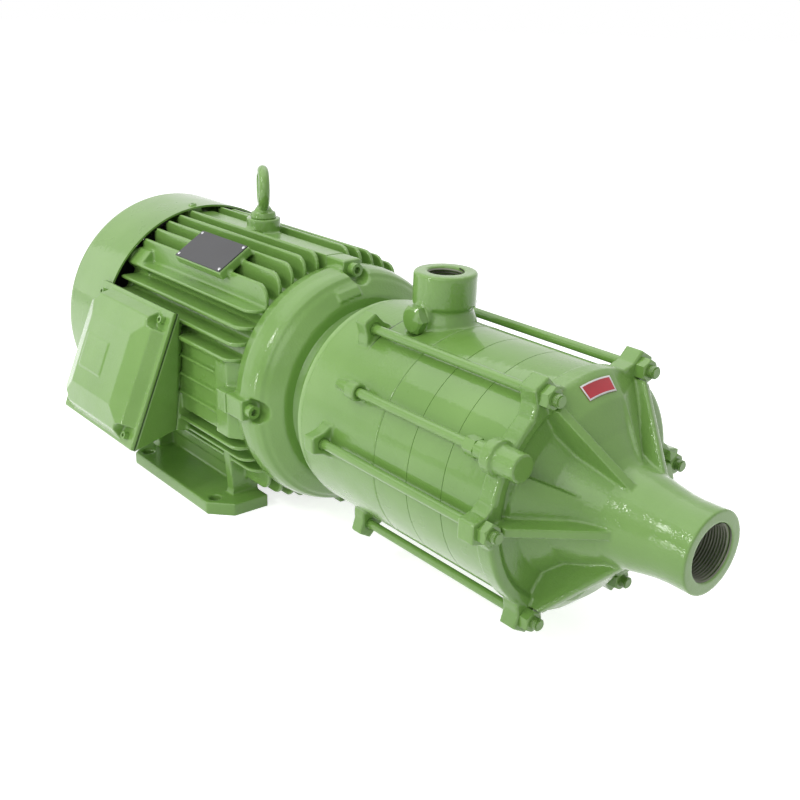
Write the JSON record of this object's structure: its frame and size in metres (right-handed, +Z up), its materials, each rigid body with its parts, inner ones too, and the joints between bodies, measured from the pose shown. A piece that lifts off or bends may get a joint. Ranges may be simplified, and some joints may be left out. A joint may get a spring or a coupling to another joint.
{
  "type": "horizontal multistage pump",
  "caption": "Horizontal multistage pump close-coupled to a finned electric motor, with a threaded suction nozzle on the end and a threaded discharge port on top.",
  "frame": {"origin": "on the floor plane under the feet, at the centre of the four foot holes", "axes": "+X along the shaft from the motor towards the suction nozzle, +Z up, terminal box on the -Y side"},
  "size_m": [0.765, 0.3128, 0.3195],
  "materials": {
    "green_paint": "gloss",
    "steel": "satin",
    "dark_steel": "satin",
    "lamination": "matte",
    "copper": "gloss",
    "black_plastic": "matte",
    "water_plastic": "satin",
    "bronze": "satin",
    "rubber": "matte",
    "ceramic": "gloss",
    "dark_plate": "satin",
    "red_label": "gloss"
  },
  "bodies": {
    "housing": {"motor_frame": "green_paint", "drive_end_shield": "green_paint", "rear_end_shield": "green_paint", "shield_screws": "green_paint", "stator_core": "lamination", "stator_winding": "copper", "front_bearing_outer": "steel", "front_bearing_balls": "steel", "rear_bearing_outer": "steel", "rear_bearing_balls": "steel", "wave_spring": "steel", "fan_cover": "green_paint", "fan_cover_screws": "green_paint", "terminal_box": "green_paint", "terminal_box_lid": "green_paint", "box_gasket": "rubber", "lid_screws": "green_paint", "box_screws": "dark_steel", "terminal_block": "black_plastic", "terminal_studs": "bronze", "eye_bolt": "green_paint", "nameplate": "dark_plate", "nameplate_rivets": "steel", "pump_bracket": "green_paint", "bracket_screws": "dark_steel", "discharge_casing": "green_paint", "priming_plug": "green_paint", "stage_casing_1": "green_paint", "stage_casing_2": "green_paint", "stage_casing_3": "green_paint", "suction_cover": "green_paint", "diffuser_1": "water_plastic", "diffuser_2": "water_plastic", "diffuser_3": "water_plastic", "diffuser_4": "water_plastic", "wear_rings": "bronze", "casing_o_rings": "rubber", "seal_seat": "ceramic", "tie_rods": "green_paint", "tie_rod_nuts": "green_paint", "balance_pipe": "green_paint", "pipe_nuts": "green_paint", "pipe_adapter": "green_paint", "label_plate": "red_label"},
    "rotor": {"shaft": "steel", "rotor_core": "lamination", "front_bearing_inner": "steel", "rear_bearing_inner": "steel", "cooling_fan": "black_plastic", "fan_circlip": "dark_steel", "impeller_1": "water_plastic", "impeller_2": "water_plastic", "impeller_3": "water_plastic", "impeller_4": "water_plastic", "spacer_sleeves": "steel", "impeller_nut": "steel", "impeller_key": "steel", "seal_head": "steel", "seal_spring": "steel", "water_slinger": "rubber"}
  },
  "joints": [
    {"name": "shaft_spin", "type": "hinge", "parent": "housing", "child": "rotor", "pos_m": [0.1, 0, 0.132], "axis": [1, 0, 0], "continuous": true}
  ]
}
